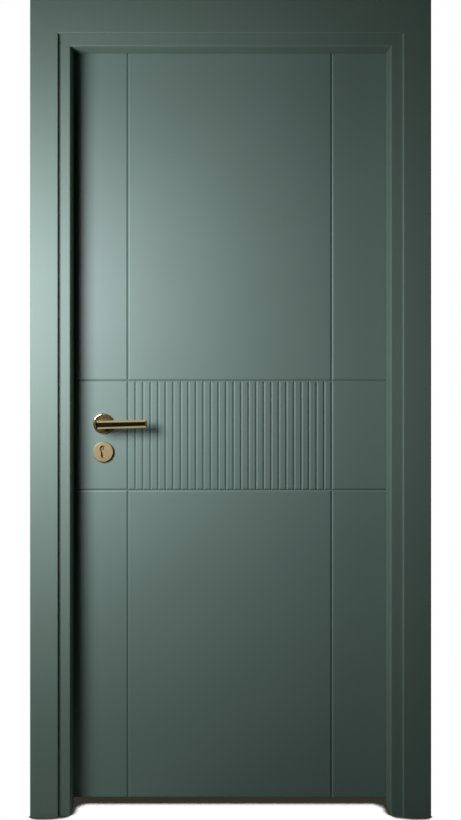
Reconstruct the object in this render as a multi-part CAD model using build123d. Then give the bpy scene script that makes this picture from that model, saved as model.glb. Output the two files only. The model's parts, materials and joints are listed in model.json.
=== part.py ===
from build123d import *
import os

# A lacquered MDF interior door in its frame, with casings on both faces, three butt
# hinges, a mortise lock with a profile cylinder, and lever handles on round roses.
# Lengths are in millimetres. X runs across the doorway with the lock on the left, Y runs
# from the push face to the pull face, and Z stands up from the floor at mid width.

# Door leaf
leaf_width = 850
leaf_height = 1980
leaf_thickness = 40
leaf_arris = 1.5
floor_gap = 15
skin_thickness = 8
stile_width = 45
top_rail_height = 45
bottom_rail_height = 90
lock_block_width = 100
lock_block_margin = 60
tube_radius = 8
tube_pitch = 24

# Grooves milled in both skins: right-angled vees with rolled shoulders
long_groove_depth = 3
flute_depth = 2.4
shoulder_radius = 7
shoulder_lift = 0.05
flute_pitch = 20
flute_strips = 27
band_foot = 813
band_height = 290

# Frame, with a rebate for the leaf at the pull face
jamb_depth = 120
jamb_thickness = 44
nose_radius = 3
jamb_arris = 1.5
stop_overlap = 12
stop_gap = 3
edge_gap = 3
leaf_setback = 2

# Casings, tongued into the edges of the frame
casing_width = 72
head_casing_width = 88
casing_thickness = 12
casing_radius = 3
casing_reveal = 30
tongue_inset = 2.5
tongue_thickness = 5
tongue_length = 14
tongue_clearance = 0.2

# Seal, pressed into a groove of the stop
seal_inset = 2.5
seal_width = 8
seal_radius = 1
seal_stem_width = 3.4
seal_stem_depth = 5
seal_groove_clearance = 0.1
seal_leaf_clearance = 0.3

# Butt hinges
hinge_height = 100
hinge_top_distance = 220
hinge_foot_distance = 250
flap_width = 30
flap_thickness = 2.5
flap_radius = 6
knuckle_radius = 6
knuckle_count = 5
knuckle_gap = 0.3
knuckle_clearance = 0.5
knuckle_standoff = 9
pin_radius = 3
pin_clearance = 0.05
pin_head_radius = 5
pin_head_height = 4
pin_head_round = 1.5
hinge_screw_radius = 2
hinge_screw_head_radius = 4
hinge_screw_length = 16
hinge_screw_outer_row = 9
hinge_screw_inner_row = 18
hinge_screw_outer_rise = 38
hinge_screw_inner_rise = 14
screw_clearance = 0.1

# Mortise lock: heights are from the spindle, depths from the edge of the leaf
spindle_height = 990
backset = 90
cylinder_drop = 67
forend_width = 20
forend_thickness = 3
forend_top = 75
forend_foot = 145
forend_screw_inset = 10
forend_screw_radius = 2
forend_screw_head_radius = 4
forend_screw_length = 25
case_depth = 115
case_thickness = 16
case_top = 50
case_foot = 125
case_wall = 1.5
mortise_clearance = 0.4
rivet_radius = 2
rivet_inset = 7
rivet_clearance = 0.05
bolt_clearance = 0.3

# Latch bolt and its tail
latch_thickness = 12
latch_height = 24
latch_rise = 16
latch_throw = 11
latch_body = 14
latch_tip = 2
tail_thickness = 2.5
tail_height = 10
tail_offset = 3
hook_height = 4
hook_length = 4.4
hook_gap = 0.6
latch_spring_thickness = 0.8
latch_spring_width = 5
latch_spring_mouth = 4
spring_clearance = 0.1

# Follower that the spindle turns
spindle_side = 8
spindle_reach = 34
spindle_clearance = 0.05
hub_radius = 9.5
hub_thickness = 12.6
hub_flat = 7.5
hub_boss_radius = 7.5
hub_boss_clearance = 0.1
arm_width = 8
arm_radius = 18
arm_thickness = 5
return_spring_thickness = 0.8
return_spring_width = 8
return_spring_reach = 20
return_spring_foot = 10

# Deadbolt
deadbolt_thickness = 10
deadbolt_height = 34
deadbolt_drop = 42
deadbolt_throw = 20
deadbolt_head = 30
deadbolt_setback = 0.5
deadbolt_arris = 1
bolt_tail_thickness = 5
bolt_tail_rise = 12
bolt_tail_fall = 8
bolt_tail_reach = 104
talon_fall = 12
talon_setback = 2

# Profile cylinder
profile_radius = 8.5
profile_height = 33
profile_tail = 10
profile_clearance = 0.4
cylinder_recess = 7.5
plug_radius = 6.5
plug_clearance = 0.05
keyway_width = 1.8
keyway_height = 8.5
keyway_depth = 16
cam_radius = 15
cam_ring_radius = 8.2
cam_nose_width = 8
cam_thickness = 9
cam_slot = 10
cam_clearance = 1
cylinder_screw_radius = 2.5
cylinder_screw_head_radius = 4.5
cylinder_screw_drop = 20.2
cylinder_screw_end = 3

# Strike plate in the lock jamb
strike_thickness = 2
strike_width = 24
strike_top = 62
strike_foot = 96
strike_radius = 4
strike_play = 1.5
strike_screw_inset = 12
strike_screw_radius = 2
strike_screw_head_radius = 4
strike_screw_length = 22
pocket_play = 3

# Roses and escutcheons
rose_radius = 27
rose_thickness = 9
escutcheon_thickness = 8
rose_wall = 1.6
rose_round = 3
escutcheon_round = 1.5
rose_base_clearance = 0.3
rose_base_gap = 1
spindle_hole_radius = 12
bolt_spacing = 38
bolt_radius = 2
bolt_head_radius = 4
bolt_head_height = 2.5
bolt_bite = 5

# Lever handles
lever_projection = 58
neck_radius = 9
neck_clearance = 0.3
neck_start = 0.5
neck_fillet = 3
bar_thickness = 11
bar_heel = 15
bar_reach = 118
bar_root_height = 21.5
bar_tip_height = 19.5
bar_tip_rise = 3.5
bar_chamfer_width = 4.6
bar_chamfer_depth = 3.6
bar_face_round = 1
bar_back_round = 1
grub_radius = 2.5
grub_place = 26
grub_clearance = 0.05

# How far a cutting shape runs past the solid that it cuts
overrun = 5

# Places across the doorway, through the wall and up from the floor
leaf_half = leaf_width / 2
clear_half = leaf_half - stop_overlap
rebate = stop_overlap + edge_gap
leaf_foot = floor_gap
leaf_top = leaf_foot + leaf_height
clear_height = leaf_top - stop_overlap
front_reach = casing_thickness
rear_reach = jamb_depth - leaf_setback + lever_projection
half_depth = (front_reach + rear_reach) / 2
jamb_front = front_reach - half_depth
jamb_middle = jamb_front + jamb_depth / 2
leaf_rear = jamb_front + jamb_depth - leaf_setback
leaf_front = leaf_rear - leaf_thickness
leaf_middle = leaf_front + leaf_thickness / 2
stop_depth = jamb_depth - leaf_setback - leaf_thickness - stop_gap
seal_depth = stop_depth + stop_gap - seal_leaf_clearance
spindle_x = backset - leaf_half
spindle_z = leaf_foot + spindle_height
pin_x = leaf_half + edge_gap / 2
pin_y = leaf_rear + knuckle_standoff
hinge_low = leaf_foot + hinge_foot_distance
hinge_high = leaf_top - hinge_top_distance
hinge_heights = [hinge_low, (hinge_low + hinge_high) / 2, hinge_high]
hinge_names = ["bottom", "middle", "top"]
case_front = forend_thickness
case_rear = case_front + case_depth
case_half = case_thickness / 2
profile_middle = profile_radius - profile_height / 2
half_cylinder = leaf_thickness / 2 + escutcheon_thickness - cylinder_recess
tail_end = backset + arm_width / 2 + hook_gap + hook_length

# Planes that the pieces are drawn on
low = (Align.MIN, Align.MIN, Align.MIN)
flat_low = (Align.MIN, Align.MIN)
outward = (Align.CENTER, Align.CENTER, Align.MIN)
toward_viewer = (0, -1, 0)
side_plane = Plane(origin=(clear_half, jamb_front, 0), x_dir=(1, 0, 0), z_dir=(0, 0, 1))
handle_plane = Plane(origin=(spindle_x, leaf_front, spindle_z), x_dir=(1, 0, 0), z_dir=toward_viewer)
spindle_plane = Plane(origin=(spindle_x, leaf_middle, spindle_z), x_dir=(1, 0, 0), z_dir=toward_viewer)
plug_plane = spindle_plane * Pos(0, -cylinder_drop, 0)
leaf_mirror = Plane(origin=(0, leaf_middle, 0), x_dir=(1, 0, 0), z_dir=toward_viewer)
jamb_mirror = Plane(origin=(0, jamb_middle, 0), x_dir=(1, 0, 0), z_dir=toward_viewer)
at_lock = Pos(-leaf_half, leaf_middle, spindle_z)
at_strike = Pos(-clear_half - rebate, leaf_middle, spindle_z)


def slab(x_from, x_to, y_from, y_to, z_from, z_to):
    return Pos(x_from, y_from, z_from) * Box(x_to - x_from, y_to - y_from, z_to - z_from, align=low)


def panel(x_from, x_to, y_from, y_to):
    return Pos(x_from, y_from) * Rectangle(x_to - x_from, y_to - y_from, align=flat_low)


def rounded(face, corner, radius):
    nearest = face.vertices().sort_by_distance(Vertex(*corner))[0]
    return fillet(nearest, radius)


def countersunk(radius, head_radius, length):
    # A flat-headed screw pointing along +X, its head flush with X zero
    cone = Cone(head_radius, radius, head_radius - radius, align=outward)
    shank = Cylinder(radius, length, align=outward)
    return Rot(0, 90, 0) * (cone + shank)


def screw_and_hole(radius, head_radius, length):
    screw = countersunk(radius, head_radius, length)
    hole = countersunk(radius + screw_clearance, head_radius + screw_clearance, length + screw_clearance)
    return screw, hole


def through_depth(points):
    # A prism with the given outline in X and Z that passes through the whole frame
    behind = Plane(origin=(0, half_depth + overrun, 0), x_dir=(1, 0, 0), z_dir=toward_viewer)
    outline = behind * Polygon(*points, align=None)
    return extrude(outline, amount=2 * (half_depth + overrun), dir=toward_viewer)


def side_mitre(inner_x, inner_z, side_width, head_width):
    # What lies outside and below the mitre line at the right-hand corner
    slope = head_width / side_width
    near = (inner_x - overrun, inner_z - overrun * slope)
    far = (inner_x + side_width + overrun, inner_z + head_width + overrun * slope)
    return through_depth([(near[0], -overrun), (far[0], -overrun), far, near])


def head_mitre(inner_x, inner_z, side_width, head_width):
    # What lies above both mitre lines
    slope = head_width / side_width
    near = (inner_x - overrun, inner_z - overrun * slope)
    far = (inner_x + side_width + overrun, inner_z + head_width + overrun * slope)
    return through_depth([near, far, (-far[0], far[1]), (-near[0], near[1])])


def side_run(section, top):
    return extrude(side_plane * section, amount=top, dir=(0, 0, 1))


def head_run(section, half_length):
    start = Plane(origin=(half_length, jamb_front, clear_height), x_dir=(0, 0, 1), z_dir=(-1, 0, 0))
    return extrude(start * section, amount=2 * half_length, dir=(-1, 0, 0))


def corner_runs(section, head_section, inset, side_width, head_width):
    # The right upright and the head of one moulding, meeting in a mitre
    corner = (clear_half + inset, clear_height + inset, side_width, head_width)
    upright = side_run(section, clear_height + inset + head_width) & side_mitre(*corner)
    head = head_run(head_section, clear_half + inset + side_width) & head_mitre(*corner)
    return upright, head


# Frame

def jamb_section():
    # Outwards from the clear opening, then from the push face to the pull face
    outline = [
        (0, 0),
        (jamb_thickness, 0),
        (jamb_thickness, jamb_depth),
        (rebate, jamb_depth),
        (rebate, stop_depth),
        (0, stop_depth),
    ]
    face = Polygon(*outline, align=None)
    face = rounded(face, (0, 0), nose_radius)
    face = rounded(face, (0, stop_depth), jamb_arris)
    face = rounded(face, (rebate, jamb_depth), jamb_arris)
    groove_near = casing_reveal + tongue_inset - tongue_clearance
    groove_far = casing_reveal + tongue_inset + tongue_thickness + tongue_clearance
    groove_length = tongue_length + tongue_clearance
    face -= panel(groove_near, groove_far, -overrun, groove_length)
    face -= panel(groove_near, groove_far, jamb_depth - groove_length, jamb_depth + overrun)
    stem_middle = seal_inset + seal_width / 2
    stem_half = seal_stem_width / 2 + seal_groove_clearance
    stem_end = stop_depth - seal_stem_depth - seal_groove_clearance
    face -= panel(stem_middle - stem_half, stem_middle + stem_half, stem_end, stop_depth + overrun)
    return face


def seal_section():
    face = panel(seal_inset, seal_inset + seal_width, stop_depth, seal_depth)
    face = rounded(face, (seal_inset, seal_depth), seal_radius)
    face = rounded(face, (seal_inset + seal_width, seal_depth), seal_radius)
    stem_middle = seal_inset + seal_width / 2
    stem_half = seal_stem_width / 2
    stem = panel(stem_middle - stem_half, stem_middle + stem_half, stop_depth - seal_stem_depth, stop_depth)
    return face + stem


def casing_board(width):
    face = panel(casing_reveal, casing_reveal + width, -casing_thickness, 0)
    face = rounded(face, (casing_reveal, -casing_thickness), casing_radius)
    return rounded(face, (casing_reveal + width, -casing_thickness), casing_radius)


def casing_pair():
    # The right-hand and head casings of the push face: a flat board with a tongue
    tongue_near = casing_reveal + tongue_inset
    tongue = panel(tongue_near, tongue_near + tongue_thickness, 0, tongue_length)
    boards = corner_runs(
        casing_board(casing_width),
        casing_board(head_casing_width),
        casing_reveal,
        casing_width,
        head_casing_width,
    )
    tongues = corner_runs(tongue, tongue, casing_reveal, casing_width, casing_width)
    return boards[0] + tongues[0], boards[1] + tongues[1]


# Hinges

def flap_screw_places():
    # Four screws to a flap, in two staggered rows measured from its far edge
    reach = knuckle_standoff + flap_width
    for rise in (-hinge_screw_outer_rise, hinge_screw_outer_rise):
        yield hinge_screw_outer_row - reach, rise
    for rise in (-hinge_screw_inner_rise, hinge_screw_inner_rise):
        yield hinge_screw_inner_row - reach, rise


def flap_plate():
    # The blank of the flap let into the jamb, about the pin's axis
    reach = knuckle_standoff + flap_width
    inner = edge_gap / 2
    plate = slab(inner, inner + flap_thickness, -reach, 0, -hinge_height / 2, hinge_height / 2)
    far_corners = plate.edges().filter_by(Axis.X).group_by(Axis.Y)[0]
    return fillet(far_corners, flap_radius)


def hinge_screws():
    screw, hole = screw_and_hole(hinge_screw_radius, hinge_screw_head_radius, hinge_screw_length)
    screws = [Pos(edge_gap / 2, y, z) * screw for y, z in flap_screw_places()]
    holes = [Pos(edge_gap / 2, y, z) * hole for y, z in flap_screw_places()]
    return screws, holes


def hinge_half(first_knuckle):
    half = flap_plate()
    pitch = hinge_height / knuckle_count
    for number in range(knuckle_count):
        centre = Pos(0, 0, (number + 1 / 2) * pitch - hinge_height / 2)
        if number % 2 == first_knuckle:
            half += centre * Cylinder(knuckle_radius, pitch - knuckle_gap)
        else:
            half -= centre * Cylinder(knuckle_radius + knuckle_clearance, pitch)
    half -= Cylinder(pin_radius + pin_clearance, hinge_height + overrun)
    return half - hinge_screws()[1]


def hinge_pin():
    head = Cylinder(pin_head_radius, pin_head_height, align=outward)
    head = fillet(head.edges().group_by(Axis.Z)[-1], pin_head_round)
    top_head = Pos(0, 0, hinge_height / 2) * head
    return Cylinder(pin_radius, hinge_height) + top_head + mirror(top_head, about=Plane.XY)


def at_hinge(height):
    return Pos(pin_x, pin_y, height)


def hinge_cuts(on_leaf):
    # The recesses and pilot holes for one side of all three hinges
    recess = [flap_plate()] + hinge_screws()[1]
    if on_leaf:
        recess = [mirror(cut, about=Plane.YZ) for cut in recess]
    return [at_hinge(height) * cut for height in hinge_heights for cut in recess]


# Lock, about the spindle's height at the edge of the leaf

def bolt_hole(thickness, height, middle, play, depth_from, depth_to):
    half = thickness / 2 + play
    rise = height / 2 + play
    return slab(depth_from, depth_to, -half, half, middle - rise, middle + rise)


def latch_hole(play, depth_from, depth_to):
    return bolt_hole(latch_thickness, latch_height, latch_rise, play, depth_from, depth_to)


def deadbolt_hole(play, depth_from, depth_to):
    return bolt_hole(deadbolt_thickness, deadbolt_height, -deadbolt_drop, play, depth_from, depth_to)


def forend_blank():
    edge = Plane(origin=(0, 0, (forend_top - forend_foot) / 2), x_dir=(0, 0, 1), z_dir=(1, 0, 0))
    outline = SlotOverall(forend_top + forend_foot, forend_width)
    return extrude(edge * outline, amount=forend_thickness, dir=(1, 0, 0))


def forend_screw_places():
    return [forend_top - forend_screw_inset, forend_screw_inset - forend_foot]


def cylinder_screw_set():
    length = backset + cylinder_screw_end
    pair = screw_and_hole(cylinder_screw_radius, cylinder_screw_head_radius, length)
    return [Pos(0, 0, -cylinder_drop - cylinder_screw_drop) * piece for piece in pair]


def forend_screw_set():
    pair = screw_and_hole(forend_screw_radius, forend_screw_head_radius, forend_screw_length)
    return [[Pos(0, 0, place) * piece for place in forend_screw_places()] for piece in pair]


def forend():
    plate = forend_blank()
    plate -= latch_hole(bolt_clearance, -overrun, case_front + overrun)
    plate -= deadbolt_hole(bolt_clearance, -overrun, case_front + overrun)
    plate -= forend_screw_set()[1]
    return plate - cylinder_screw_set()[1]


def rivet_places():
    top = case_top - rivet_inset
    foot = rivet_inset - case_foot
    return [(case_front + rivet_inset, top), (case_rear - rivet_inset, top), (case_rear - rivet_inset, foot)]


def rivets(radius):
    bar = Rot(90, 0, 0) * Cylinder(radius, case_thickness)
    return [Pos(depth, 0, rise) * bar for depth, rise in rivet_places()]


def profile_sketch(growth):
    # The cylinder's outline about its plug, with a rounded tail below
    foot = profile_height - profile_radius - profile_tail / 2
    tail = Pos(0, -foot / 2) * Rectangle(profile_tail + 2 * growth, foot)
    toe = Pos(0, -foot) * Circle(profile_tail / 2 + growth)
    return Circle(profile_radius + growth) + tail + toe


def profile_cut(half_length):
    return plug_plane * extrude(profile_sketch(profile_clearance), amount=half_length, both=True)


def bolt_places():
    return [-bolt_spacing / 2, bolt_spacing / 2]


def bolt_cuts(radius, half_length):
    return [spindle_plane * Pos(place, 0, 0) * Cylinder(radius, 2 * half_length) for place in bolt_places()]


def case_holes():
    # Openings that pass through both sides of the case
    reach = case_half + overrun
    holes = bolt_cuts(bolt_radius + bolt_clearance, reach)
    holes.append(spindle_plane * Cylinder(hub_boss_radius + hub_boss_clearance, 2 * reach))
    holes.append(profile_cut(reach))
    return holes + [at_lock * hole for hole in rivets(rivet_radius + rivet_clearance)]


def lock_case():
    outer = slab(case_front, case_rear, -case_half, case_half - case_wall, -case_foot, case_top)
    inner = slab(
        case_front + case_wall,
        case_rear - case_wall,
        case_wall - case_half,
        case_half,
        case_wall - case_foot,
        case_top - case_wall,
    )
    pan = outer - inner
    pan -= latch_hole(bolt_clearance, 0, case_front + case_wall + overrun)
    pan -= deadbolt_hole(bolt_clearance, 0, case_front + case_wall + overrun)
    pan -= cylinder_screw_set()[1]
    return at_lock * pan - case_holes()


def lock_cover():
    plate = slab(case_front, case_rear, case_half - case_wall, case_half, -case_foot, case_top)
    return at_lock * plate - case_holes()


def latch_bolt():
    half = latch_thickness / 2
    outline = [
        (-latch_throw, half),
        (latch_body, half),
        (latch_body, -half),
        (latch_thickness - latch_throw - latch_tip, -half),
        (-latch_throw, half - latch_tip),
    ]
    foot = latch_rise - latch_height / 2
    head = extrude(Pos(0, 0, foot) * Polygon(*outline, align=None), amount=latch_height, dir=(0, 0, 1))
    tail_foot = latch_rise - tail_height / 2
    tail_far = tail_offset + tail_thickness
    tail = slab(latch_body, tail_end, tail_offset, tail_far, tail_foot, tail_foot + tail_height)
    arm_half = arm_thickness / 2
    hook = slab(tail_end - hook_length, tail_end, -arm_half, tail_offset, tail_foot, tail_foot + hook_height)
    return at_lock * (head + tail + hook)


def latch_spring():
    # An open steel ring squeezed between the tail's end and the back of the case
    room = case_rear - case_wall - tail_end
    radius = room / 2 - spring_clearance
    centre = (tail_end + room / 2, tail_offset, latch_rise)
    middle = Plane(origin=centre, x_dir=(1, 0, 0), z_dir=toward_viewer)
    ring = Circle(radius) - Circle(radius - latch_spring_thickness)
    ring -= Pos(0, radius) * Rectangle(latch_spring_mouth, radius)
    return at_lock * (middle * extrude(ring, amount=latch_spring_width / 2, both=True))


def follower():
    flat = panel(-hub_radius, hub_radius, -hub_radius - overrun, -hub_flat)
    hub = extrude(Circle(hub_radius) - flat, amount=hub_thickness / 2, both=True)
    boss = extrude(Circle(hub_boss_radius), amount=case_half, both=True)
    arm = extrude(panel(-arm_width / 2, arm_width / 2, 0, arm_radius), amount=arm_thickness / 2, both=True)
    hole_side = spindle_side + 2 * spindle_clearance
    return spindle_plane * (hub + boss + arm - Box(hole_side, hole_side, case_thickness + overrun))


def return_spring():
    # A leaf of spring steel under the flat of the hub, with its foot on the back of the case
    top = -hub_flat - spring_clearance
    far = case_rear - case_wall - spring_clearance - backset
    leaf = panel(-return_spring_reach, far, top - return_spring_thickness, top)
    foot = panel(far - return_spring_thickness, far, top - return_spring_foot, top)
    return spindle_plane * extrude(leaf + foot, amount=return_spring_width / 2, both=True)


def deadbolt():
    half = deadbolt_thickness / 2
    rise = deadbolt_height / 2
    head_end = deadbolt_setback + deadbolt_head
    head = slab(deadbolt_setback, head_end, -half, half, -deadbolt_drop - rise, rise - deadbolt_drop)
    head = chamfer(head.faces().sort_by(Axis.X)[0].edges(), deadbolt_arris)
    tail_half = bolt_tail_thickness / 2
    tail_top = bolt_tail_rise - deadbolt_drop
    tail = slab(head_end, bolt_tail_reach, -tail_half, tail_half, -deadbolt_drop - bolt_tail_fall, tail_top)
    talon_end = backset - talon_setback
    talon = slab(head_end, talon_end, -tail_half, tail_half, -deadbolt_drop - talon_fall, tail_top)
    return at_lock * (head + tail + talon)


def cylinder_body():
    body = extrude(profile_sketch(0), amount=half_cylinder, both=True)
    body -= Cylinder(plug_radius + plug_clearance, 2 * (half_cylinder + overrun))
    slot_floor = -cam_radius - cam_clearance
    slot = panel(-profile_height, profile_height, slot_floor, profile_height)
    body -= extrude(slot, amount=cam_slot / 2, both=True)
    return plug_plane * body - at_lock * cylinder_screw_set()[1]


def cylinder_plug():
    plug = Cylinder(plug_radius, 2 * half_cylinder)
    ring = Circle(cam_ring_radius) + panel(-cam_nose_width / 2, cam_nose_width / 2, -cam_radius, 0)
    cam = extrude(ring, amount=cam_thickness / 2, both=True)
    keyway = Box(keyway_width, keyway_height, keyway_depth)
    mouth = half_cylinder - keyway_depth / 2
    return plug_plane * (plug + cam - Pos(0, 0, mouth) * keyway - Pos(0, 0, -mouth) * keyway)


# Strike plate, about the spindle's height at the face of the rebate

def strike_blank():
    middle = Pos(-strike_thickness / 2, 0, (strike_top - strike_foot) / 2)
    plate = middle * Box(strike_thickness, strike_width, strike_top + strike_foot)
    return fillet(plate.edges().filter_by(Axis.X), strike_radius)


def strike_screw_set():
    pair = screw_and_hole(strike_screw_radius, strike_screw_head_radius, strike_screw_length)
    places = [strike_top - strike_screw_inset, strike_screw_inset - strike_foot]
    return [[Pos(0, 0, place) * Rot(0, 180, 0) * piece for place in places] for piece in pair]


def strike_plate():
    plate = strike_blank() - latch_hole(strike_play, -overrun, overrun)
    plate -= deadbolt_hole(strike_play, -overrun, overrun)
    return at_strike * (plate - strike_screw_set()[1])


def strike_cuts():
    # The recess, the two bolt pockets and the pilot holes in the lock jamb
    latch_end = edge_gap - latch_throw - pocket_play
    deadbolt_end = edge_gap + deadbolt_setback - deadbolt_throw - pocket_play
    pockets = [latch_hole(strike_play, latch_end, 0), deadbolt_hole(strike_play, deadbolt_end, 0)]
    return [at_strike * cut for cut in [strike_blank()] + pockets + strike_screw_set()[1]]


# Door leaf

def vee(depth):
    # The section of a groove below the line Y zero, with a shoulder rolled over on either side
    mouth = depth + shoulder_lift
    wing = mouth + shoulder_radius
    outline = [
        (-wing, overrun),
        (-wing, shoulder_lift),
        (-mouth, shoulder_lift),
        (0, -depth),
        (mouth, shoulder_lift),
        (wing, shoulder_lift),
        (wing, overrun),
    ]
    face = Polygon(*outline, align=None)
    face = rounded(face, outline[2], shoulder_radius)
    return rounded(face, outline[4], shoulder_radius)


def upright_grooves(depth, places, foot, top):
    # Grooves in the push face that run up the leaf
    for place in places:
        start = Plane(origin=(place, leaf_front, foot), x_dir=(1, 0, 0), z_dir=(0, 0, 1))
        yield extrude(start * mirror(vee(depth), about=Plane.XZ), amount=top - foot, dir=(0, 0, 1))


def level_grooves():
    # The two grooves in the push face that run across the whole leaf
    for rise in (band_foot, band_foot + band_height):
        corner = (-leaf_half - overrun, leaf_front, leaf_foot + rise)
        start = Plane(origin=corner, x_dir=(0, 0, 1), z_dir=(1, 0, 0))
        yield extrude(start * vee(long_groove_depth), amount=leaf_width + 2 * overrun, dir=(1, 0, 0))


def long_grooves():
    # The two upright and two level grooves that divide the leaf into nine fields
    half_band = flute_strips * flute_pitch / 2
    sides = (-half_band, half_band)
    uprights = upright_grooves(long_groove_depth, sides, leaf_foot - overrun, leaf_top + overrun)
    return [*uprights, *level_grooves()]


def flutes():
    # The short grooves of the band, which end in the two level ones
    half_band = flute_strips * flute_pitch / 2
    places = [number * flute_pitch - half_band for number in range(1, flute_strips)]
    band_low = leaf_foot + band_foot
    return [*upright_grooves(flute_depth, places, band_low, band_low + band_height)]


def furniture_cuts():
    # Holes through the leaf for the spindle, the rose bolts and the cylinder
    half = leaf_thickness / 2 + overrun
    holes = bolt_cuts(bolt_radius + bolt_clearance, half)
    return holes + [spindle_plane * Cylinder(spindle_hole_radius, 2 * half), profile_cut(half)]


def front_skin():
    sheet = slab(-leaf_half, leaf_half, leaf_front, leaf_front + skin_thickness, leaf_foot, leaf_top)
    sheet = fillet(sheet.faces().sort_by(Axis.Y)[0].edges(), leaf_arris)
    for groove in long_grooves():
        sheet -= groove
    return sheet - flutes() - furniture_cuts()


def mortise_cuts():
    room = mortise_clearance
    case_room = slab(
        case_front,
        case_rear + room,
        -case_half - room,
        case_half + room,
        -case_foot - room,
        case_top + room,
    )
    cuts = [forend_blank(), case_room, *forend_screw_set()[1]]
    return [at_lock * cut for cut in cuts]


def leaf_members():
    # Stiles and rails between the skins, the lock block, and a core with upright tubes
    y_from = leaf_front + skin_thickness
    y_to = leaf_rear - skin_thickness
    inner = leaf_half - stile_width
    rail_foot = leaf_top - top_rail_height
    core_foot = leaf_foot + bottom_rail_height
    block_foot = spindle_z - case_foot - lock_block_margin
    block_top = spindle_z + case_top + lock_block_margin
    block_end = lock_block_width - inner
    lock_stile = slab(-leaf_half, -inner, y_from, y_to, leaf_foot, leaf_top) - mortise_cuts()
    hinge_stile = slab(inner, leaf_half, y_from, y_to, leaf_foot, leaf_top) - hinge_cuts(True)
    top_rail = slab(-inner, inner, y_from, y_to, rail_foot, leaf_top)
    bottom_rail = slab(-inner, inner, y_from, y_to, leaf_foot, core_foot)
    block_blank = slab(-inner, block_end, y_from, y_to, block_foot, block_top)
    lock_block = block_blank - mortise_cuts() - furniture_cuts()
    core = slab(-inner, inner, y_from, y_to, core_foot, rail_foot) - block_blank
    tube_count = int((inner - block_end) / tube_pitch)
    first_tube = (inner + block_end - (tube_count - 1) * tube_pitch) / 2
    tube = Cylinder(tube_radius, rail_foot - core_foot, align=outward)
    tube_places = [first_tube + number * tube_pitch for number in range(tube_count)]
    core -= [Pos(place, leaf_middle, core_foot) * tube for place in tube_places]
    return {
        "lock_stile": lock_stile,
        "hinge_stile": hinge_stile,
        "top_rail": top_rail,
        "bottom_rail": bottom_rail,
        "lock_block": lock_block,
        "leaf_core": core,
    }


# Handles, drawn outwards from the push face of the leaf

def cap(thickness, rim_round):
    # A pressed cover with a rounded rim
    shell = Cylinder(rose_radius, thickness, align=outward)
    shell = fillet(shell.edges().group_by(Axis.Z)[-1], rim_round)
    return shell - Cylinder(rose_radius - rose_wall, thickness - rose_wall, align=outward)


def cap_base(thickness):
    depth = thickness - rose_wall - rose_base_gap
    return Cylinder(rose_radius - rose_wall - rose_base_clearance, depth, align=outward)


def rose_cover():
    neck_hole = Cylinder(neck_radius + neck_clearance, 2 * rose_thickness)
    return handle_plane * (cap(rose_thickness, rose_round) - neck_hole)


def rose_base():
    base = cap_base(rose_thickness) - Cylinder(neck_radius + neck_clearance, 2 * rose_thickness)
    return handle_plane * base


def escutcheon_cover():
    face = Pos(0, profile_middle - cylinder_drop, 0) * cap(escutcheon_thickness, escutcheon_round)
    return handle_plane * face - profile_cut(leaf_thickness)


def escutcheon_base():
    base = Pos(0, profile_middle - cylinder_drop, 0) * cap_base(escutcheon_thickness)
    return handle_plane * base - profile_cut(leaf_thickness)


def rose_bolts():
    # Headed in the pull-face base, threaded into the push-face base
    base_depth = rose_thickness - rose_wall - rose_base_gap
    start = -leaf_thickness - base_depth
    length = leaf_thickness + base_depth + bolt_bite
    shank = Pos(0, 0, start) * Cylinder(bolt_radius, length, align=outward)
    head = Pos(0, 0, start) * Cylinder(bolt_head_radius, bolt_head_height, align=outward)
    return [handle_plane * Pos(place, 0, 0) * (shank + head) for place in bolt_places()]


def lever_bar():
    outline = [
        (-bar_heel, -bar_root_height / 2),
        (bar_reach, bar_tip_rise - bar_tip_height / 2),
        (bar_reach, bar_tip_rise + bar_tip_height / 2),
        (-bar_heel, bar_root_height / 2),
    ]
    face = Polygon(*outline, align=None)
    corner_radius = bar_chamfer_width + bar_face_round
    face = rounded(face, outline[0], corner_radius)
    face = rounded(face, outline[-1], corner_radius)
    back = lever_projection - bar_thickness
    bar = extrude(Pos(0, 0, back) * face, amount=bar_thickness, dir=(0, 0, 1))
    front = bar.faces().sort_by(Axis.Z)[-1]
    bar = chamfer(front.edges(), bar_chamfer_width, bar_chamfer_depth, reference=front)
    return fillet(bar.faces().sort_by(Axis.Z)[0].edges(), bar_back_round)


def front_lever():
    back = lever_projection - bar_thickness
    neck = Pos(0, 0, neck_start) * Cylinder(neck_radius, back - neck_start, align=outward)
    lever = lever_bar() + neck
    seam = lever.edges().filter_by(GeomType.CIRCLE).sort_by_distance(Vertex(0, 0, back))[0]
    lever = fillet(seam, neck_fillet)
    side = spindle_side + 2 * spindle_clearance
    lever -= Box(side, side, 2 * (spindle_reach + spindle_clearance))
    return handle_plane * (lever - grub_screw(grub_radius + grub_clearance))


def grub_screw(radius):
    # Driven up through the neck on to the spindle
    top = -spindle_side / 2 - spindle_clearance
    foot = -neck_radius
    screw = Rot(90, 0, 0) * Cylinder(radius, top - foot)
    return Pos(0, (top + foot) / 2, grub_place) * screw


def spindle():
    half = leaf_thickness / 2 + spindle_reach
    return spindle_plane * Box(spindle_side, spindle_side, 2 * half)


def to_rear(piece):
    return mirror(piece, about=leaf_mirror)


def to_left(piece):
    return mirror(piece, about=Plane.YZ)


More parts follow.
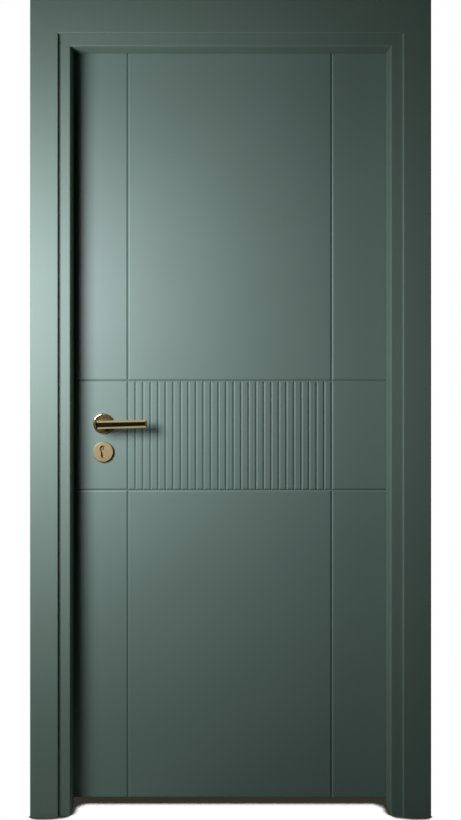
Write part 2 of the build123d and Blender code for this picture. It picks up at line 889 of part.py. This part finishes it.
def frame_nodes():
    section = jamb_section()
    upright, head = corner_runs(section, section, 0, jamb_thickness, jamb_thickness)
    seal = seal_section()
    side_seal, head_seal = corner_runs(seal, seal, 0, jamb_thickness, jamb_thickness)
    side_casing, head_casing = casing_pair()
    nodes = {
        "lock_jamb": to_left(upright) - strike_cuts(),
        "hinge_jamb": upright - hinge_cuts(False),
        "head_jamb": head,
        "lock_seal": to_left(side_seal),
        "hinge_seal": side_seal,
        "head_seal": head_seal,
        "front_lock_casing": to_left(side_casing),
        "front_hinge_casing": side_casing,
        "front_head_casing": head_casing,
        "strike_plate": strike_plate(),
        "strike_screws": [at_strike * screw for screw in strike_screw_set()[0]],
    }
    for name in ("lock_casing", "hinge_casing", "head_casing"):
        nodes["rear_" + name] = mirror(nodes["front_" + name], about=jamb_mirror)
    return nodes


def hinge_nodes():
    nodes = {}
    frame_flap = hinge_half(0)
    leaf_flap = to_left(hinge_half(1))
    frame_screws = hinge_screws()[0]
    leaf_screws = [to_left(screw) for screw in frame_screws]
    places = [at_hinge(height) for height in hinge_heights]
    for name, place in zip(hinge_names, places):
        nodes[name + "_hinge_frame_flap"] = place * frame_flap
        nodes[name + "_hinge_leaf_flap"] = place * leaf_flap
        nodes[name + "_hinge_pin"] = place * hinge_pin()
    nodes["hinge_frame_screws"] = [place * screw for place in places for screw in frame_screws]
    nodes["hinge_leaf_screws"] = [place * screw for place in places for screw in leaf_screws]
    return nodes


def leaf_nodes():
    nodes = leaf_members()
    skin = front_skin()
    nodes["front_skin"] = skin
    nodes["rear_skin"] = to_rear(skin) - hinge_cuts(True)
    return nodes


def lock_nodes():
    return {
        "lock_forend": at_lock * forend(),
        "forend_screws": [at_lock * screw for screw in forend_screw_set()[0]],
        "lock_case": lock_case(),
        "lock_cover": lock_cover(),
        "lock_rivets": [at_lock * rivet for rivet in rivets(rivet_radius)],
        "latch_bolt": latch_bolt(),
        "latch_spring": latch_spring(),
        "lock_follower": follower(),
        "return_spring": return_spring(),
        "deadbolt": deadbolt(),
        "cylinder_body": cylinder_body(),
        "cylinder_plug": cylinder_plug(),
        "cylinder_screw": at_lock * cylinder_screw_set()[0],
    }


def handle_nodes():
    bolts = rose_bolts()
    lever = front_lever()
    cover = rose_cover()
    shield = escutcheon_cover()
    shield_base = escutcheon_base()
    grub = handle_plane * grub_screw(grub_radius)
    return {
        "front_lever": lever,
        "rear_lever": to_rear(lever),
        "front_rose_cover": cover,
        "rear_rose_cover": to_rear(cover),
        "front_rose_base": rose_base() - bolts,
        "rear_rose_base": to_rear(rose_base()) - bolts,
        "rose_bolts": bolts,
        "front_escutcheon_cover": shield,
        "rear_escutcheon_cover": to_rear(shield),
        "front_escutcheon_base": shield_base,
        "rear_escutcheon_base": to_rear(shield_base),
        "spindle": spindle(),
        "lever_grub_screws": [grub, to_rear(grub)],
    }


os.makedirs("parts", exist_ok=True)
door = frame_nodes() | hinge_nodes() | leaf_nodes() | lock_nodes() | handle_nodes()
for node, piece in door.items():
    solid = Compound(children=piece) if isinstance(piece, list) else piece
    export_step(solid, "parts/" + node + ".step")
print(len(door), "pieces written")
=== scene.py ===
import json
import math
import bpy
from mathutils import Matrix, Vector


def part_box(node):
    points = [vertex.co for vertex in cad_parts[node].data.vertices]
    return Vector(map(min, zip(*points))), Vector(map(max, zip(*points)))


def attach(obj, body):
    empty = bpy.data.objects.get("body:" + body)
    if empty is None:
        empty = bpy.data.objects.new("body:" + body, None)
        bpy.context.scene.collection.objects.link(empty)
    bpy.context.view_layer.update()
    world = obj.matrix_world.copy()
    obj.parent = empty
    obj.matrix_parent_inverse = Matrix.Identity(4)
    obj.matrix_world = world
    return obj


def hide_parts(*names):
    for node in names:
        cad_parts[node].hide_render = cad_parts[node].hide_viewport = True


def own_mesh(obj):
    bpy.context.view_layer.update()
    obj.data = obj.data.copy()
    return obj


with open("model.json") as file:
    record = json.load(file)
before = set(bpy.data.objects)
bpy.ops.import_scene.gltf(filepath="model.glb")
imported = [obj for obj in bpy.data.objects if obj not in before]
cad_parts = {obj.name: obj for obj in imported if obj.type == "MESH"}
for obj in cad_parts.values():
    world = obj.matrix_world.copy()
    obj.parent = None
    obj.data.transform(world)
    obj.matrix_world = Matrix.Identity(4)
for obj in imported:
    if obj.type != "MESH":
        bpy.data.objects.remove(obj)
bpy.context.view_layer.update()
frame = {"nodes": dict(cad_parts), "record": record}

nodes = frame["nodes"]
slotOf = {part["node"]: part["material_slot"] for part in frame["record"]["subparts"]}
print("frame loaded:", len(nodes), "nodes")


# Colours are written as sRGB hex and turned to linear here
def toLinear(hexColour):
    channels = [int(hexColour[i:i + 2], 16) / 255 for i in (1, 3, 5)]
    return [c / 12.92 if c <= 0.04045 else ((c + 0.055) / 1.055) ** 2.4 for c in channels] + [1]


# A pattern whose features are this many millimetres apart, as a texture scale
def perMm(size):
    return 1000 / size


def addNode(tree, kind, settings=None, links=None):
    node = tree.nodes.new(kind)
    for name, value in (settings or {}).items():
        if hasattr(node, name):
            setattr(node, name, value)
        else:
            node.inputs[name].default_value = value
    for socket, source in (links or {}).items():
        tree.links.new(source, node.inputs[socket])
    return node


def newMaterial(name):
    material = bpy.data.materials.new(name)
    material.use_nodes = True
    tree = material.node_tree
    shader = tree.nodes["Principled BSDF"]
    place = addNode(tree, "ShaderNodeTexCoord").outputs["Object"]
    return material, tree, shader, place


# Polyurethane lacquer sprayed on primed MDF and left satin: an even green-grey with a broad soft
# sheen, a faint orange peel from the gun and a slow drift of tone from coat to coat.
# The leaf's coat is a little paler and glossier than the frame's.
lacquer = {
    "deep": "#556C5A", "pale": "#59705E", "rough": (0.65, 0.70),
    "leafDeep": "#597160", "leafPale": "#5D7564", "leafRough": (0.56, 0.61),
    "ior": 1.5, "driftMm": 420, "driftBand": (0.3, 0.7), "grainMm": 0.9,
    "peelMm": 2.6, "peelDepth": 0.00002, "peelStrength": 0.35,
}


def sprayedLacquer(name, deep, pale, rough):
    material, tree, shader, place = newMaterial(name)
    drift = addNode(tree, "ShaderNodeTexNoise",
                    {"Scale": perMm(lacquer["driftMm"]), "Detail": 3.0}, {"Vector": place})
    tone = addNode(tree, "ShaderNodeValToRGB", {}, {"Fac": drift.outputs["Fac"]})
    first, last = tone.color_ramp.elements
    first.position, last.position = lacquer["driftBand"]
    first.color = toLinear(lacquer[deep])
    last.color = toLinear(lacquer[pale])
    tree.links.new(tone.outputs["Color"], shader.inputs["Base Color"])
    grain = addNode(tree, "ShaderNodeTexNoise",
                    {"Scale": perMm(lacquer["grainMm"]), "Detail": 2.0}, {"Vector": place})
    low, high = lacquer[rough]
    gloss = addNode(tree, "ShaderNodeMapRange", {"To Min": low, "To Max": high},
                    {"Value": grain.outputs["Fac"]})
    tree.links.new(gloss.outputs["Result"], shader.inputs["Roughness"])
    peel = addNode(tree, "ShaderNodeTexNoise",
                   {"Scale": perMm(lacquer["peelMm"]), "Detail": 1.0}, {"Vector": place})
    bump = addNode(tree, "ShaderNodeBump",
                   {"Strength": lacquer["peelStrength"], "Distance": lacquer["peelDepth"]},
                   {"Height": peel.outputs["Fac"]})
    tree.links.new(bump.outputs["Normal"], shader.inputs["Normal"])
    shader.inputs["IOR"].default_value = lacquer["ior"]
    return material


# A Mix node keeps a set of sockets for each kind of data, so its colours go by number
mixSocket = {"first": 6, "second": 7, "result": 2}
brushDepth = 0.00002  # metres

# Brass brushed along its length and clear-coated: dark where it faces the room, bright along
# every chamfered edge.
brushed = {"colour": "#C5B689", "worn": "#BAAA7C", "rough": (0.09, 0.14), "brushMm": (60, 0.35),
           "tarnishMm": 24, "relief": 0.03}

# Brass turned on a lathe for the roses: a little softer, so that the face glows brown.
turned = {"colour": "#C9B47A", "worn": "#BEA86D", "rough": (0.16, 0.20), "brushMm": (0.5, 0.5),
          "tarnishMm": 24, "relief": 0.008}

# Brass plate blasted and matt-plated: an even pale gold that spreads the light.
satin = {"colour": "#958960", "worn": "#867B55", "rough": (0.44, 0.50), "brushMm": (0.8, 0.8),
         "tarnishMm": 18, "relief": 0.15}

# Zinc-plated steel, barrelled: a cool bright grey with a faint blue and yellow cast.
zinc = {"colour": "#B9BDC0", "worn": "#A9ACA6", "rough": (0.28, 0.40), "brushMm": (3, 3),
        "tarnishMm": 12, "relief": 0.1}


def finishedMetal(name, settings):
    material, tree, shader, place = newMaterial(name)
    along, across = settings["brushMm"]
    stretch = addNode(tree, "ShaderNodeMapping",
                      {"Scale": (perMm(along), perMm(across), perMm(across))}, {"Vector": place})
    lines = addNode(tree, "ShaderNodeTexNoise", {"Scale": 1.0, "Detail": 3.0},
                    {"Vector": stretch.outputs["Vector"]})
    low, high = settings["rough"]
    gloss = addNode(tree, "ShaderNodeMapRange", {"To Min": low, "To Max": high},
                    {"Value": lines.outputs["Fac"]})
    tree.links.new(gloss.outputs["Result"], shader.inputs["Roughness"])
    tarnish = addNode(tree, "ShaderNodeTexNoise",
                      {"Scale": perMm(settings["tarnishMm"]), "Detail": 3.0}, {"Vector": place})
    tone = addNode(tree, "ShaderNodeMix", {"data_type": "RGBA"}, {"Factor": tarnish.outputs["Fac"]})
    tone.inputs[mixSocket["first"]].default_value = toLinear(settings["worn"])
    tone.inputs[mixSocket["second"]].default_value = toLinear(settings["colour"])
    tree.links.new(tone.outputs[mixSocket["result"]], shader.inputs["Base Color"])
    bump = addNode(tree, "ShaderNodeBump",
                   {"Strength": settings["relief"], "Distance": brushDepth},
                   {"Height": lines.outputs["Fac"]})
    tree.links.new(bump.outputs["Normal"], shader.inputs["Normal"])
    shader.inputs["Metallic"].default_value = 1.0
    return material


# Nylon, moulded: a dull dark grey with a faint mottle.
nylon = {"colour": "#2A2B2B", "speck": "#343535", "rough": 0.55, "speckMm": 0.6}

# Chipboard, extruded round tubes: coarse tan and brown chips without any shine.
chipboard = {"colour": "#A68358", "speck": "#7C5B37", "rough": 0.9, "speckMm": 4.0}

# Thermoplastic rubber, extruded for the stop: a soft near-black with a little sheen.
sealStrip = {"colour": "#1F2422", "speck": "#262B29", "rough": 0.62, "speckMm": 1.2}

speckRelief = {"strength": 0.3, "depth": 0.0001}


def speckled(name, settings):
    material, tree, shader, place = newMaterial(name)
    specks = addNode(tree, "ShaderNodeTexNoise",
                     {"Scale": perMm(settings["speckMm"]), "Detail": 4.0}, {"Vector": place})
    tone = addNode(tree, "ShaderNodeMix", {"data_type": "RGBA"}, {"Factor": specks.outputs["Fac"]})
    tone.inputs[mixSocket["first"]].default_value = toLinear(settings["colour"])
    tone.inputs[mixSocket["second"]].default_value = toLinear(settings["speck"])
    tree.links.new(tone.outputs[mixSocket["result"]], shader.inputs["Base Color"])
    bump = addNode(tree, "ShaderNodeBump",
                   {"Strength": speckRelief["strength"], "Distance": speckRelief["depth"]},
                   {"Height": specks.outputs["Fac"]})
    tree.links.new(bump.outputs["Normal"], shader.inputs["Normal"])
    shader.inputs["Roughness"].default_value = settings["rough"]
    return material


finishes = {
    "lacquer": sprayedLacquer("satin lacquer sprayed on the frame", "deep", "pale", "rough"),
    "leafLacquer": sprayedLacquer("satin lacquer sprayed on the leaf",
                                  "leafDeep", "leafPale", "leafRough"),
    "brushedBrass": finishedMetal("brushed brass", brushed),
    "turnedBrass": finishedMetal("turned brass", turned),
    "satinBrass": finishedMetal("satin brass plate", satin),
    "zinc": finishedMetal("zinc-plated steel", zinc),
    "nylon": speckled("moulded nylon", nylon),
    "chipboard": speckled("extruded chipboard", chipboard),
    "seal": speckled("extruded TPE seal", sealStrip),
}
finishOfSlot = {
    "lacquered_mdf": "lacquer", "sealed_softwood": "lacquer", "tube_chipboard": "chipboard",
    "tpe_seal": "seal", "satin_brass": "brushedBrass", "zinc_plated_steel": "zinc",
    "nylon": "nylon",
}
# These nodes have a finish other than their slot's usual one
finishOfNode = {
    "front_skin": "leafLacquer", "rear_skin": "leafLacquer", "lock_stile": "leafLacquer",
    "hinge_stile": "leafLacquer", "top_rail": "leafLacquer", "bottom_rail": "leafLacquer",
    "front_rose_cover": "turnedBrass", "rear_rose_cover": "turnedBrass",
    "front_escutcheon_cover": "satinBrass", "rear_escutcheon_cover": "satinBrass",
    "cylinder_body": "satinBrass", "cylinder_plug": "satinBrass",
}
for node, slotName in slotOf.items():
    for slot in nodes[node].material_slots:
        slot.material = finishes[finishOfNode.get(node, finishOfSlot[slotName])]
print("finishes set")

smoothAngle = math.radians(30)  # an edge that turns more than this stays crisp
facing = 0.5  # a face looks along an axis if its normal has more than this share of it
mergeGap = 0.00001
nearby = 0.0001  # metres, for picking edges by their place


def deselectAll():
    bpy.ops.object.select_all(action="DESELECT")


def boxOf(node):
    low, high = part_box(node)
    return low, high, [(a + b) / 2 for a, b in zip(low, high)]


# Goes into edit mode with nothing selected but the faces that pass
def editFaces(piece, passes):
    bpy.ops.object.mode_set(mode="EDIT")
    bpy.ops.mesh.select_mode(type="FACE")
    bpy.ops.mesh.select_all(action="DESELECT")
    bpy.ops.object.mode_set(mode="OBJECT")
    for face in piece.data.polygons:
        face.select = passes(face)
    bpy.ops.object.mode_set(mode="EDIT")


# Finishes a piece that stands for a CAD node
def standIn(piece, node, suffix, body):
    piece.name = node + suffix
    bpy.ops.object.shade_smooth_by_angle(angle=smoothAngle)
    piece.data.materials.append(finishes[finishOfSlot[slotOf[node]]])
    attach(piece, body)
    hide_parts(node)


# A round bar drawn out along X from a disc at the origin, one length and end radius after another
def turnedBar(sides, radius, steps):
    deselectAll()
    bpy.ops.mesh.primitive_circle_add(vertices=sides, radius=radius, fill_type="NGON",
                                      rotation=(0, math.pi / 2, 0))
    bar = bpy.context.object
    bpy.ops.object.transform_apply(location=False, rotation=True, scale=False)
    bpy.ops.object.mode_set(mode="EDIT")
    bpy.ops.mesh.select_all(action="SELECT")
    reached = 0
    for length, endRadius in steps:
        bpy.ops.mesh.extrude_region_move(TRANSFORM_OT_translate={"value": (length, 0, 0)})
        reached += length
        share = endRadius / radius
        bpy.ops.transform.resize(value=(1, share, share), center_override=(reached, 0, 0))
        radius = endRadius
    bpy.ops.mesh.select_all(action="SELECT")
    bpy.ops.mesh.normals_make_consistent(inside=False)
    bpy.ops.object.mode_set(mode="OBJECT")
    return bar


# Thread ridges as pairs of steps, root to crest and back
def threadSteps(root, crest, pitch, length):
    turns = max(1, int(length / pitch))
    return [(pitch / 2, radius) for turn in range(turns) for radius in (crest, root)]


def cutAway(bar, cutter):
    socket = bar.modifiers.new("socket", "BOOLEAN")
    socket.operation = "DIFFERENCE"
    socket.solver = "EXACT"
    socket.object = cutter
    deselectAll()
    bar.select_set(True)
    bpy.context.view_layer.objects.active = bar
    bpy.ops.object.modifier_apply(modifier=socket.name)
    bpy.data.objects.remove(cutter)


# Copies of one piece at the given places, each turned its own way, joined and put at the origin
def setOut(node, model, places, body):
    copies = []
    for place, turn in places:
        copy = model.copy()
        copy.data = model.data.copy()
        copy.location = place
        copy.rotation_euler = turn
        bpy.context.collection.objects.link(copy)
        copies.append(copy)
    bpy.data.objects.remove(model)
    deselectAll()
    for copy in copies:
        copy.select_set(True)
    bpy.context.view_layer.objects.active = copies[0]
    if len(copies) > 1:
        bpy.ops.object.join()
    bpy.ops.object.transform_apply(location=True, rotation=True, scale=True)
    standIn(copies[0], node, "_driven", body)


# Countersunk wood screws with a cross recess: sizes in metres, the recess in shares of the head
screwShape = {
    "sides": 24, "head": 0.004, "shank": 0.002, "cylinderHead": 0.0045, "cylinderShank": 0.0025,
    "rootShare": 0.78, "pitch": 0.0016, "plain": 0.002, "point": 0.003, "tip": 0.0003,
    "bitRadius": 0.6, "bitWidth": 0.24, "bitDepth": 0.42, "bitTaper": 0.45,
}
pointing = {"right": (0, 0, 0), "left": (0, 0, math.pi), "up": (0, -math.pi / 2, 0)}


# One wing of a cross driver, tapered into the head and turned about the screw's axis
def bitWing(radius, width, depth, turn):
    deselectAll()
    bpy.ops.mesh.primitive_cube_add(size=1, scale=(2 * depth, width, 2 * radius))
    wing = bpy.context.object
    bpy.ops.object.transform_apply(location=False, rotation=False, scale=True)
    editFaces(wing, lambda face: face.normal.x > facing)
    bpy.ops.transform.resize(value=(1, 1, screwShape["bitTaper"]), center_override=(depth, 0, 0))
    bpy.ops.object.mode_set(mode="OBJECT")
    wing.rotation_euler = (turn, 0, 0)
    bpy.ops.object.transform_apply(location=False, rotation=True, scale=False)
    return wing


def woodScrew(head, shank, length):
    root = shank * screwShape["rootShare"]
    threaded = length - (head - shank) - screwShape["plain"] - screwShape["point"]
    ridges = threadSteps(root, shank, screwShape["pitch"], threaded)
    drawn = sum(step for step, radius in ridges)
    steps = [(head - shank, shank), (screwShape["plain"] + threaded - drawn, shank)] + ridges
    steps.append((screwShape["point"], screwShape["tip"]))
    screw = turnedBar(screwShape["sides"], head, steps)
    bit = [head * screwShape[size] for size in ("bitRadius", "bitWidth", "bitDepth")]
    for turn in (0, math.pi / 2):
        cutAway(screw, bitWing(*bit, turn))
    return screw


# The two screws at the ends of a plate on the door's edge
def plateScrews(node, way, body):
    low, high, middle = boxOf(node)
    headX = low[0] if way == "right" else high[0]
    head = screwShape["head"]
    screw = woodScrew(head, screwShape["shank"], high[0] - low[0])
    heights = (low[2] + head, high[2] - head)
    places = [((headX, middle[1], height), pointing[way]) for height in heights]
    setOut(node, screw, places, body)


# Four screws to each hinge flap, the outer pair in the far row and the inner pair in the near one
hingeScrews = {"outerRise": 0.038, "innerRise": 0.014}


def flapScrews(node, flapName, way, body):
    low, high, middle = boxOf(node)
    headX = low[0] if way == "right" else high[0]
    head = screwShape["head"]
    rows = ((low[1] + head, hingeScrews["outerRise"]), (high[1] - head, hingeScrews["innerRise"]))
    places = []
    for hinge in ("bottom", "middle", "top"):
        centre = boxOf(hinge + flapName)[2][2]
        for rowY, rise in rows:
            for side in (-1, 1):
                places.append(((headX, rowY, centre + side * rise), pointing[way]))
    screw = woodScrew(head, screwShape["shank"], high[0] - low[0])
    setOut(node, screw, places, body)


def cylinderScrew():
    node = "cylinder_screw"
    low, high, middle = boxOf(node)
    length = high[0] - low[0]
    screw = woodScrew(screwShape["cylinderHead"], screwShape["cylinderShank"], length)
    setOut(node, screw, [((low[0], middle[1], middle[2]), pointing["right"])], "leaf")


flapScrews("hinge_frame_screws", "_hinge_frame_flap", "right", "frame")
flapScrews("hinge_leaf_screws", "_hinge_leaf_flap", "left", "leaf")
plateScrews("forend_screws", "right", "leaf")
plateScrews("strike_screws", "left", "frame")
cylinderScrew()
print("screws driven")

# Socket grub screws that pinch the levers on the spindle, seen from below in each neck
grubShape = {"sides": 24, "edge": 0.0004, "pitch": 0.0008, "rootShare": 0.86,
             "socketSides": 6, "socketShare": 0.58, "socketDepth": 0.002}


def grubScrews():
    node = "lever_grub_screws"
    low, high, middle = boxOf(node)
    edge = grubShape["edge"]
    radius = (high[0] - low[0]) / 2
    root = radius * grubShape["rootShare"]
    length = high[2] - low[2]
    ridges = threadSteps(root, radius, grubShape["pitch"], length - 2 * edge)
    drawn = sum(step for step, end in ridges)
    steps = [(edge, root)] + ridges + [(length - drawn - edge, root)]
    screw = turnedBar(grubShape["sides"], root - edge, steps)
    deselectAll()
    bpy.ops.mesh.primitive_cylinder_add(
        vertices=grubShape["socketSides"], radius=radius * grubShape["socketShare"],
        depth=2 * grubShape["socketDepth"], rotation=(0, math.pi / 2, 0))
    key = bpy.context.object
    bpy.ops.object.transform_apply(location=False, rotation=True, scale=False)
    cutAway(screw, key)
    necks = (low[1] + radius, high[1] - radius)
    setOut(node, screw, [((middle[0], y, low[2]), pointing["up"]) for y in necks], "lever_set")


grubScrews()
print("grub screws set")

# The lock's two springs give way as the lever turns, so these stand for the stiff solids:
# sizes in metres
latchSpring = {"strip": 0.0008, "mouth": 0.004, "steps": 56, "travel": 0.011}
returnSpring = {"strip": 0.0008, "bend": 0.0006, "bendSteps": 4, "give": 0.0022}


# An open ring of spring strip behind the latch's tail, its mouth at the top
def ringSpring():
    node = "latch_spring"
    low, high, middle = boxOf(node)
    width = high[0] - low[0]
    radius = width / 2
    mouth = math.asin(latchSpring["mouth"] / 2 / radius)
    reach = radius - latchSpring["strip"] / 2
    deselectAll()
    bpy.ops.mesh.primitive_plane_add(
        size=1, location=(-reach * math.sin(mouth), 0, reach * math.cos(mouth)),
        rotation=(0, math.pi / 2 - mouth, 0))
    ring = bpy.context.object
    ring.scale = (latchSpring["strip"], high[1] - low[1], 1)
    bpy.ops.object.transform_apply(location=True, rotation=True, scale=True)
    bpy.ops.object.mode_set(mode="EDIT")
    bpy.ops.mesh.select_all(action="SELECT")
    bpy.ops.mesh.spin(steps=latchSpring["steps"], angle=2 * (math.pi - mouth),
                      center=(0, 0, 0), axis=(0, 1, 0))
    bpy.ops.mesh.select_all(action="SELECT")
    bpy.ops.mesh.remove_doubles(threshold=mergeGap)
    bpy.ops.mesh.normals_make_consistent(inside=False)
    bpy.ops.object.mode_set(mode="OBJECT")
    ring.location = (middle[0], middle[1], low[2] + radius)
    bpy.ops.object.transform_apply(location=True, rotation=False, scale=False)
    standIn(ring, node, "_wound", "leaf")
    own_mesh(ring)


# A leaf of spring strip under the hub, turned down to a foot at the back of the case
def leafSpring():
    node = "return_spring"
    low, high, middle = boxOf(node)
    strip = returnSpring["strip"]
    height = high[2] - low[2]
    deselectAll()
    bpy.ops.mesh.primitive_cube_add(size=1, location=(middle[0], middle[1], high[2] - strip / 2))
    blade = bpy.context.object
    blade.scale = (high[0] - low[0], high[1] - low[1], strip)
    bpy.ops.object.transform_apply(location=True, rotation=False, scale=True)
    bpy.ops.object.mode_set(mode="EDIT")
    bpy.ops.mesh.select_all(action="SELECT")
    bpy.ops.mesh.bisect(plane_co=(high[0] - strip, 0, 0), plane_no=(1, 0, 0))
    bpy.ops.object.mode_set(mode="OBJECT")
    editFaces(blade, lambda face: face.normal.z < -facing and face.center.x > high[0] - strip)
    bpy.ops.mesh.extrude_region_move(TRANSFORM_OT_translate={"value": (0, 0, strip - height)})
    bpy.ops.mesh.select_mode(type="EDGE")
    bpy.ops.mesh.select_all(action="DESELECT")
    bpy.ops.object.mode_set(mode="OBJECT")
    for edge in blade.data.edges:  # the upper corner over the foot is bent round
        ends = [blade.data.vertices[end].co for end in edge.vertices]
        edge.select = all(abs(end.x - high[0]) < nearby and abs(end.z - high[2]) < nearby
                          for end in ends)
    bpy.ops.object.mode_set(mode="EDIT")
    bpy.ops.mesh.bevel(offset=returnSpring["bend"], segments=returnSpring["bendSteps"])
    bpy.ops.mesh.select_all(action="SELECT")
    bpy.ops.mesh.normals_make_consistent(inside=False)
    bpy.ops.object.mode_set(mode="OBJECT")
    standIn(blade, node, "_wound", "leaf")
    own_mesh(blade)


ringSpring()
leafSpring()
print("springs wound")

# The floor is white to the camera and keeps the dark line of the door's shadow under the leaf.
# To the lamps it is dark, since no light comes up from it in the photograph. To glossy rays it
# glows in a painted patch of light in front of the door on the left, a painted reflection for the
# lever's lower bevel.
floorSettings = {
    "size": 8, "colour": "#242422", "rough": 0.8,
    "shadow": "#343128", "shadowReach": 0.04, "shaded": (0.66, 0.75), "shadowSamples": 16,
    # Centre, reach and levels near and far of the painted glow patch that only reflections see
    "glowSpot": (-0.37, -0.25, 0), "glowSpotReach": (0.2, 0.4), "bright": 0.68, "far": 0.03,
}


def paleFloor():
    deselectAll()
    bpy.ops.mesh.primitive_plane_add(size=floorSettings["size"], location=(0, 0, 0))
    floor = bpy.context.object
    floor.name = "floor"
    material, tree, shader, place = newMaterial("pale studio floor")
    shader.inputs["Base Color"].default_value = toLinear(floorSettings["colour"])
    shader.inputs["Roughness"].default_value = floorSettings["rough"]
    shade = addNode(tree, "ShaderNodeAmbientOcclusion", {
        "Distance": floorSettings["shadowReach"], "samples": floorSettings["shadowSamples"]})
    fade = addNode(tree, "ShaderNodeValToRGB", {}, {"Fac": shade.outputs["AO"]})
    dark, clear = fade.color_ramp.elements
    dark.position, clear.position = floorSettings["shaded"]
    dark.color = toLinear(floorSettings["shadow"])
    glow = addNode(tree, "ShaderNodeEmission", {}, {"Color": fade.outputs["Color"]})
    rays = addNode(tree, "ShaderNodeLightPath")
    # Painted reflection: to glossy rays the floor glows, brightest round the patch's centre and
    # fading away from it
    away = addNode(tree, "ShaderNodeVectorMath", {"operation": "DISTANCE"}, {0: place})
    away.inputs[1].default_value = floorSettings["glowSpot"]
    near, far = floorSettings["glowSpotReach"]
    sheen = addNode(tree, "ShaderNodeMapRange", {
        "From Min": near, "From Max": far,
        "To Min": floorSettings["bright"], "To Max": floorSettings["far"],
    }, {"Value": away.outputs["Value"]})
    mirrored = addNode(tree, "ShaderNodeMath", {"operation": "MULTIPLY"},
                       {0: rays.outputs["Is Glossy Ray"], 1: sheen.outputs["Result"]})
    seen = addNode(tree, "ShaderNodeMath", {"operation": "MAXIMUM"},
                   {0: rays.outputs["Is Camera Ray"], 1: mirrored.outputs[0]})
    pick = addNode(tree, "ShaderNodeMixShader", {},
                   {0: seen.outputs[0], 1: shader.outputs[0], 2: glow.outputs[0]})
    tree.links.new(pick.outputs[0], tree.nodes["Material Output"].inputs["Surface"])
    floor.data.materials.append(material)


paleFloor()

# A white studio, dark behind the camera and dim on the right, as the brass mirrors it
room = {"fill": 0.01, "front": 0.006, "side": 1.0, "right": 0.12, "darkFrom": 0.25, "darkTo": 0.55}


def studioRoom():
    world = bpy.data.worlds.new("studio")
    bpy.context.scene.world = world
    world.use_nodes = True
    tree = world.node_tree
    back = tree.nodes["Background"]
    back.inputs["Color"].default_value = (1, 1, 1, 1)
    way = addNode(tree, "ShaderNodeTexCoord").outputs["Generated"]
    split = addNode(tree, "ShaderNodeSeparateXYZ", {}, {"Vector": way})
    depth = addNode(tree, "ShaderNodeMath", {"operation": "ABSOLUTE"}, {0: split.outputs["Y"]})
    mirrored = addNode(tree, "ShaderNodeMapRange", {
        "From Min": room["darkFrom"], "From Max": room["darkTo"],
        "To Min": room["side"], "To Max": room["front"],
    }, {"Value": depth.outputs[0]})
    dim = addNode(tree, "ShaderNodeMapRange", {
        "From Min": room["darkFrom"], "From Max": room["darkTo"],
        "To Min": 1.0, "To Max": room["right"],
    }, {"Value": split.outputs["X"]})
    sides = addNode(tree, "ShaderNodeMath", {"operation": "MULTIPLY"},
                    {0: mirrored.outputs["Result"], 1: dim.outputs["Result"]})
    rays = addNode(tree, "ShaderNodeLightPath")
    gloss = addNode(tree, "ShaderNodeMix", {"A": room["fill"]},
                    {"Factor": rays.outputs["Is Glossy Ray"], "B": sides.outputs[0]})
    seen = addNode(tree, "ShaderNodeMath", {"operation": "MAXIMUM"},
                   {0: rays.outputs["Is Camera Ray"], 1: rays.outputs["Is Transmission Ray"]})
    level = addNode(tree, "ShaderNodeMath", {"operation": "MAXIMUM"},
                    {0: seen.outputs[0], 1: gloss.outputs["Result"]})
    tree.links.new(level.outputs[0], back.inputs["Strength"])


studioRoom()

# One softbox close by on the left, and a larger one behind the door for the pull side
softbox = {"place": (-0.775, -0.87, 1.35), "aim": (0.31, 0.90, -0.29),
           "width": 0.42, "height": 0.45, "watts": 27.5, "colour": "#F1E9FF"}
rearBox = {"place": (0.9, 1.9, 1.5), "aim": (-0.35, -1.0, -0.15),
           "width": 0.9, "height": 0.9, "watts": 40, "colour": "#F1E9FF"}


def addSoftbox(name, settings):
    bpy.ops.object.light_add(type="AREA", location=settings["place"])
    lamp = bpy.context.object
    lamp.name = name
    lamp.rotation_euler = Vector(settings["aim"]).to_track_quat("-Z", "Z").to_euler()
    lamp.data.shape = "RECTANGLE"
    lamp.data.size = settings["width"]
    lamp.data.size_y = settings["height"]
    lamp.data.energy = settings["watts"]
    lamp.data.color = toLinear(settings["colour"])[:3]
    lamp.visible_camera = False


addSoftbox("softbox", softbox)
addSoftbox("rear softbox", rearBox)

# The camera stands level in front of the push side; the shift is the photograph's own crop.
# The photograph's sizes are in pixels, the stand's place in metres and its sensor in millimetres.
photo = {"width": 461, "height": 820, "focal": 1083.6, "centre": (205.3, 334.2)}
stand = {"place": (-0.065, -2.874, 1.241), "sensor": 36.0, "clipStart": 0.05}


def addCamera():
    bpy.ops.object.camera_add(location=stand["place"], rotation=(math.pi / 2, 0, 0))
    camera = bpy.context.object
    camera.data.sensor_fit = "VERTICAL"
    camera.data.sensor_height = stand["sensor"]
    camera.data.lens = stand["sensor"] * photo["focal"] / photo["height"]
    centreX, centreY = photo["centre"]
    camera.data.shift_x = (photo["width"] / 2 - centreX) / photo["height"]
    camera.data.shift_y = (centreY - photo["height"] / 2) / photo["height"]
    camera.data.clip_start = stand["clipStart"]
    bpy.context.scene.camera = camera


addCamera()
bpy.context.scene.view_settings.view_transform = "Standard"
print("stage, lamps and camera set")
